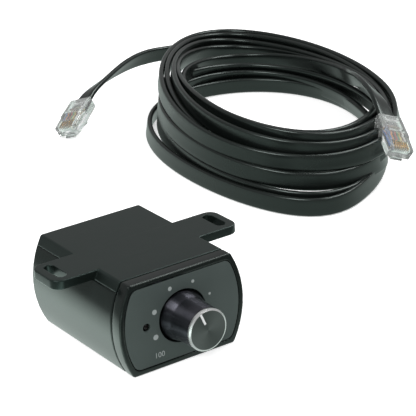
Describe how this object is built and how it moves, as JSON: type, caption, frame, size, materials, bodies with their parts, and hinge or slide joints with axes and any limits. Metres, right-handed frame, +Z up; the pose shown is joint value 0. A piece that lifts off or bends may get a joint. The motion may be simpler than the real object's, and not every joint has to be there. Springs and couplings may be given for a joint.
{
  "type": "trailer brake controller",
  "caption": "Small under-dash control unit with bowed sides, two slotted ears, a push-and-turn knob, an indicator, and a coiled flat lead with clear plugs.",
  "frame": {"origin": "on the resting surface, under the centre of the unit with its knob; the coiled lead is left out of that centre", "axes": "+Z up, -Y out of the fascia towards the user, +X to the right seen from the front"},
  "size_m": [0.2468, 0.2823, 0.036],
  "materials": {
    "gloss_black": "smooth moulded black with a soft gloss",
    "matt_fascia": "fine matt dark grey",
    "knob_black": "smooth black, satin",
    "spun_aluminium": "spun, with a bright cut chamfer",
    "zinc_steel": "zinc plated",
    "nickel_brass": "nickel plated",
    "gold_contact": "gold plated",
    "clear_plug": "clear polycarbonate",
    "green_board": "solder mask",
    "chip_black": "moulded epoxy",
    "capacitor_can": "drawn can",
    "inner_plastic": "moulded black nylon",
    "red_lens": "dark red lens, unlit",
    "black_cable": "extruded flexible sheath, satin"
  },
  "bodies": {
    "unit": {"housing": "gloss_black", "top_cover": "gloss_black", "front_cap": "gloss_black", "rear_cover": "gloss_black", "fascia_plate": "matt_fascia", "control_bushing": "nickel_brass", "control_nut": "nickel_brass", "control_washer": "zinc_steel", "control_body": "inner_plastic", "circuit_board": "green_board", "controller_chip": "chip_black", "smoothing_capacitor": "capacitor_can", "indicator_led": "red_lens", "led_holder": "inner_plastic", "socket_shell": "inner_plastic", "socket_contacts": "gold_contact", "lead_coil": "black_cable", "lead_tail_a": "black_cable", "lead_tail_b": "black_cable", "plug_a_body": "clear_plug", "plug_b_body": "clear_plug", "cover_screw_1": "zinc_steel", "cover_screw_2": "zinc_steel", "cover_screw_3": "zinc_steel", "cover_screw_4": "zinc_steel", "board_screw_1": "zinc_steel", "board_screw_2": "zinc_steel", "plug_a_contact_1": "gold_contact", "plug_a_contact_2": "gold_contact", "plug_a_contact_3": "gold_contact", "plug_a_contact_4": "gold_contact", "plug_a_contact_5": "gold_contact", "plug_a_contact_6": "gold_contact", "plug_a_contact_7": "gold_contact", "plug_a_contact_8": "gold_contact", "plug_b_contact_1": "gold_contact", "plug_b_contact_2": "gold_contact", "plug_b_contact_3": "gold_contact", "plug_b_contact_4": "gold_contact", "plug_b_contact_5": "gold_contact", "plug_b_contact_6": "gold_contact", "plug_b_contact_7": "gold_contact", "plug_b_contact_8": "gold_contact"},
    "push": {"switch_plunger": "inner_plastic"},
    "knob": {"control_knob": "knob_black", "knob_face_disc": "spun_aluminium", "control_shaft": "zinc_steel"},
    "latch_a": {"plug_a_latch": "clear_plug"},
    "latch_b": {"plug_b_latch": "clear_plug"}
  },
  "joints": [
    {"name": "knob_push", "type": "slide", "parent": "unit", "child": "push", "axis": [0, 1, 0], "range_m": [0, 0.0015], "stiffness_N_per_m": 1200, "springref_m": -0.0008},
    {"name": "knob_turn", "type": "hinge", "parent": "push", "child": "knob", "pos_m": [0, -0.02237, 0.018], "axis": [0, -1, 0], "range_deg": [-162.5, 117.5]},
    {"name": "latch_a_press", "type": "hinge", "parent": "unit", "child": "latch_a", "pos_m": [0.08733, 0.20004, 0.00193], "axis": [0.4462, -0.8417, 0.3042], "range_deg": [0, 9], "stiffness_Nm_per_rad": 0.09},
    {"name": "latch_b_press", "type": "hinge", "parent": "unit", "child": "latch_b", "pos_m": [0.16501, 0.05254, 0.01349], "axis": [0.9119, -0.2189, -0.3471], "range_deg": [0, 9], "stiffness_Nm_per_rad": 0.09}
  ]
}
